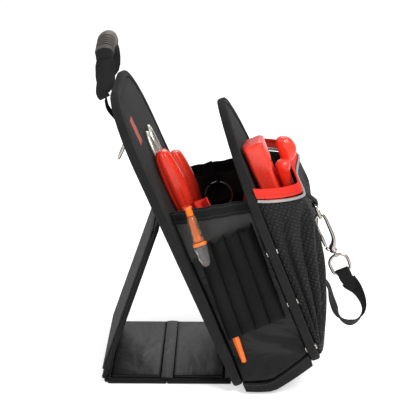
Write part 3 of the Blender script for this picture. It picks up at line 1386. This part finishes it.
grip = [(125.0, -3.0, 4.0, 22.5, 6.0), (122.5, -6.0, 7.5, 23.5, 9.0), (117.0, -9.0, 9.5, 24.0, 10.5),
        (103.0, -11.0, 11.5, 23.5, 11.5), (86.0, -12.5, 12.5, 23.0, 12.0), (64.0, -12.5, 12.0, 22.5, 12.0),
        (46.0, -11.5, 9.5, 20.0, 11.0), (34.0, -8.0, 6.5, 15.0, 8.5), (21.0, -5.5, 5.5, 11.5, 7.0)]


def moulded(name, sections, place, ridge=0.7, power=2.4, count=48):
    """A dipped and moulded handle with a raised ridge down its outer edge."""
    dense = spline([Vector((v, lo, hi)) for v, lo, hi, _, _ in sections], 6)
    wide = spline([Vector((y, half, 0.0)) for _, _, _, y, half in sections], 6)
    rows = []
    last = len(dense) - 1
    for i, (a, b) in enumerate(zip(dense, wide)):
        line = []
        fade = smooth_step(0, 0.2, i / last) * smooth_step(1.0, 0.75, i / last)
        for s, t in superellipse((a.z - a.y) / 2, b.y, count, power):
            angle = atan2(t / b.y, s / ((a.z - a.y) / 2))
            bump = 1.0 - 0.05 * fade * ridge * exp(-((abs(abs(angle) - pi / 2) - 0.42) / 0.16) ** 2)
            line.append(place(((a.y + a.z) / 2 + s * bump, b.x + t * bump, a.x)))
        rows.append(line)
    for end in (0, -1):
        middle = sum(rows[end], Vector()) / count
        for scale in (0.82, 0.55):
            ring = [middle + (p - middle) * scale for p in rows[end]]
            if end == 0:
                rows.insert(0, ring)
            else:
                rows.append(ring)
    return fix_normals(surface(name, rows, wrap=True, cap=True))


for side, sign, low, reach in (("near", -1, 0.15, 1.0), ("far", 1, -4.8, 0.84)):
    sections = [(21.0 + (v - 21.0) * reach, a, b, sign * y, half) for v, a, b, y, half in grip]
    done(moulded("pliers_handle_" + side, sections, pliers_place, 1.6), "red", "pliers_handle_" + side)
    keys = [(sign * 11.5, 20.6, 5.0), (sign * 6.0, 10.0, 7.0), (0.0, 0.0, 10.0), (-sign * 4.5, -10.0, 8.0),
            (-sign * 4.6, -28.0, 4.4), (-sign * 2.6, -46.0, 2.3)]
    done(plate("pliers_jaw_" + side, keys, low, low + 4.65, pliers_place), "steel", "pliers_jaw_" + side)

for side, sign, low in (("near", -1, 7.15), ("far", 1, 4.15)):
    keys = [(12 + sign * 9.0, 243.0, 2.4), (12 + sign * 5.0, 226.0, 3.2), (12, 205.0, 6.0),
            (12 - sign * 2.5, 190.0, 5.0), (12 - sign * 2.0, 148.0, 1.2)]
    blade = plate("blade", keys, low, low + 2.7, from_pouch, bevel=0.4)
    centre = (7.2, 12 + sign * 16.5, 268.0)
    bow = [from_pouch((centre[0], centre[1] + 11.0 * cos(a), centre[2] + 27.0 * sin(a))) for a in
           (2 * pi * i / 44 for i in range(44))]
    loop = sweep("bow", bow, (cos(TILT), 0, sin(TILT)), superellipse(2.85, 3.6, 20, 2.3), closed=True)
    name = "scissors_half_" + side
    done(joined(name, [blade, loop]), "bright", name)
screw = lathe("scissors_screw", [(9.6, 3.2), (10.2, 3.3), (10.8, 2.9), (11.1, 1.6), (11.1, 0.3)],
              lambda p: from_pouch((p[0], 12 + p[1], 205.0 + p[2])), 20)
done(screw, "bright", body="scissors")

for side, sign, low, reach, top in (("near", -1, 120.15, 134.0, 249.0), ("far", 1, 115.2, 133.0, 243.0)):
    y = -40.0 + sign * 19.0
    sections = [(top, 110.5, reach - 3.0, y, 11.6), (top - 2.5, 108.7, reach - 0.3, y, 13.8),
                (top - 8, 108.6, reach - 0.3, y, 14.0), (217.0, 108.6, reach - 1.0, y, 14.0),
                (210.0, 109.0, 131.0, y, 14.0), (190.0, 109.3, 130.5, y, 13.5),
                (165.0, 109.5, 129.5, y - sign * 3.0, 12.0), (146.0, 112.5, 127.0, y - sign * 8.0, 9.0)]
    grip_part = moulded("grip", sections, from_pouch, 0.8, 5.0)
    name = "stripper_half_" + side
    finish_piece(grip_part, MAT["red"], BODY[name], (name,), "red_plastic")
    grip_part.name = name
    keys = [(-40.0 + sign * 9.0, 147.0, 4.0), (-40.0 + sign * 4.0, 138.0, 6.0), (-40.0, 128.0, 8.0),
            (-40.0 - sign * 3.0, 118.0, 6.0), (-40.0 - sign * 2.0, 96.0, 1.8)]
    done(plate("stripper_jaw_" + side, keys, low, low + 4.65, from_pouch), "steel", body=BODY[name])

tall = [(232.0, 146.5, 153.0, 11.5, 4.5), (229.0, 144.0, 159.0, 11.5, 8.0), (222.0, 142.5, 163.0, 12.0, 10.0),
        (212.0, 142.0, 163.5, 12.0, 10.5), (204.0, 140.0, 158.0, 12.0, 10.5), (197.0, 136.5, 147.0, 12.0, 10.0),
        (172.0, 132.5, 144.5, 11.0, 8.0), (150.0, 129.5, 140.5, 8.5, 6.0)]
short = [(212.0, 138.0, 145.0, 11.0, 4.5), (209.0, 134.5, 149.5, 11.0, 7.5), (203.0, 133.0, 151.0, 11.0, 9.0),
         (193.0, 132.8, 147.0, 11.0, 9.0), (172.0, 132.5, 144.5, 10.5, 8.0), (150.0, 129.5, 140.5, 8.5, 6.0)]
for side, sign, low, rows_in in (("near", -1, 135.15, short), ("far", 1, 130.2, tall)):
    sections = [(v, a, b, -27.0 + sign * y, half) for v, a, b, y, half in rows_in]
    name = "cutter_half_" + side
    grip_part = moulded(name, sections, from_pouch, 1.0)
    done(grip_part, "red", name)
    keys = [(-27.0 + sign * 8.5, 151.0, 4.0), (-27.0 + sign * 4.0, 140.0, 6.5), (-27.0, 128.0, 9.0),
            (-27.0 - sign * 4.0, 116.0, 7.0), (-27.0 - sign * 2.4, 98.0, 2.2)]
    done(plate("cutter_jaw_" + side, keys, low, low + 4.6, from_pouch), "steel", body=BODY[name])


# ---------------------------------------------------------------- tester and screwdriver

def leaning(foot, head):
    foot, head = Vector(foot), Vector(head)
    along = (head - foot).normalized()
    side = Vector((1, 0, 0))
    side = (side - along * side.dot(along)).normalized()
    up = along.cross(side)
    return lambda p: from_pouch(foot + along * p[0] + side * p[1] + up * p[2])


def fluted(name, profile, place, flutes, depth, start, end, count=60):
    rows = []
    for d, r in profile:
        cut = depth * smooth_step(start, start + 3, d) * smooth_step(end, end - 3, d)
        rows.append([place((d, (r - cut * (0.5 + 0.5 * cos(flutes * a))) * cos(a),
                            (r - cut * (0.5 + 0.5 * cos(flutes * a))) * sin(a)))
                     for a in (2 * pi * i / count for i in range(count))])
    return fix_normals(surface(name, rows, wrap=True, cap=True))


at = leaning((25.0, -130.5, 153.0), (30.5, -115.5, 222.0))
profile = [(0.0, 0.6), (0.4, 2.2), (2.0, 4.3), (5.0, 5.4), (9.0, 6.2), (16.0, 6.9), (23.0, 7.6), (24.5, 7.7)]
done(fluted("tester_body", profile, at, 8, 0.7, 8.0, 24.0), "clear", "tester_body")
cap = [(24.7, 6.5), (25.0, 7.8), (26.0, 8.2), (28.0, 8.2), (28.6, 7.6), (28.8, 6.2)]
done(lathe("tester_cap", cap, at, 40), "orange", body="tester")
barrel = [(28.6, 5.0), (28.9, 6.7), (34.0, 6.5), (42.0, 6.1), (50.0, 5.7), (56.0, 5.3), (59.0, 4.7),
          (60.2, 3.2)]
done(fluted("tester_handle", barrel, at, 6, 0.5, 30.0, 56.0), "amber", body="tester")
core = [(28.9, 1.0), (29.2, 4.3), (33.0, 4.6), (36.0, 3.4), (41.0, 3.9), (46.0, 3.0), (52.0, 3.5), (58.0, 2.6),
        (59.6, 1.0)]
done(fluted("tester_core", core, at, 3, 1.0, 29.0, 58.0), "orange", body="tester")
crown = [(60.3, 2.5), (60.4, 4.0), (61.2, 4.4), (63.0, 3.9), (64.8, 4.3), (67.0, 4.0), (68.6, 4.4), (69.6, 5.1),
         (70.7, 5.1), (71.0, 4.2)]
done(lathe("tester_crown", crown, at, 32), "orange", "tester_crown")
at = leaning((17.0, -122.6, 27.0), (27.8, -108.6, 176.0))
profile = [(0.0, 0.8), (0.2, 2.2), (1.2, 2.9), (8.0, 3.4), (21.0, 4.0), (24.0, 4.3), (60.0, 4.4), (118.0, 4.4),
           (124.0, 4.2), (127.0, 3.2), (128.0, 1.2)]
done(fluted("loop_screwdriver", profile, at, 6, 0.5, 10.0, 116.0, 48), "orange", "loop_screwdriver")


# ---------------------------------------------------------------- camera, floor and light

def aim(obj, target):
    obj.rotation_euler = (Vector(target) - obj.location).to_track_quat("-Z", "Y").to_euler()


def light(name, location, target, size, power):
    data = bpy.data.lights.new(name, "AREA")
    data.shape = "RECTANGLE"
    data.size, data.size_y = size
    data.energy = power
    obj = bpy.data.objects.new(name, data)
    obj.location = location
    bpy.context.scene.collection.objects.link(obj)
    aim(obj, target)


def studio():
    data = bpy.data.cameras.new("photo_camera")
    data.lens = 144.5
    data.sensor_width = 36.0
    obj = bpy.data.objects.new("photo_camera", data)
    obj.location = (0.0375, -1.9237, 0.7474)
    obj.rotation_euler = (pi / 2 - radians(16.26), 0.0, radians(0.85))
    bpy.context.scene.collection.objects.link(obj)
    bpy.context.scene.camera = obj

    n = Nodes("white_floor")
    n.finish((0.85, 0.85, 0.85), 0.9, specular=0.1)
    n.shader.inputs["Emission Color"].default_value = (1, 1, 1, 1)
    n.shader.inputs["Emission Strength"].default_value = 0.55
    floor = raw_mesh("floor", [(-8000, -8000, -0.4), (8000, -8000, -0.4), (8000, 8000, -0.4), (-8000, 8000, -0.4)],
                     [(0, 1, 2, 3)])
    floor.data.materials.append(n.mat)
    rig.stage(floor)

    world = bpy.data.worlds.new("studio")
    world.use_nodes = True
    world.node_tree.nodes["Background"].inputs[0].default_value = (1, 1, 1, 1)
    world.node_tree.nodes["Background"].inputs[1].default_value = 0.5
    bpy.context.scene.world = world
    bpy.context.scene.view_settings.view_transform = "Standard"
    light("key", (0.9, -1.2, 1.5), (0.03, 0, 0.15), (0.7, 0.7), 27.0)
    light("fill", (-1.4, -1.0, 0.9), (0.0, 0, 0.2), (1.0, 1.0), 7.0)
    light("rim", (0.2, 1.4, 1.3), (0.0, 0, 0.25), (1.0, 0.5), 9.0)


studio()


CAD_SIZE, OUR_SIZE = CAD_BOX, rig.bounds()
with open("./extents.json", "w") as out:
    json.dump({"cad": CAD_SIZE, "look": OUR_SIZE}, out, default=lambda v: list(v))
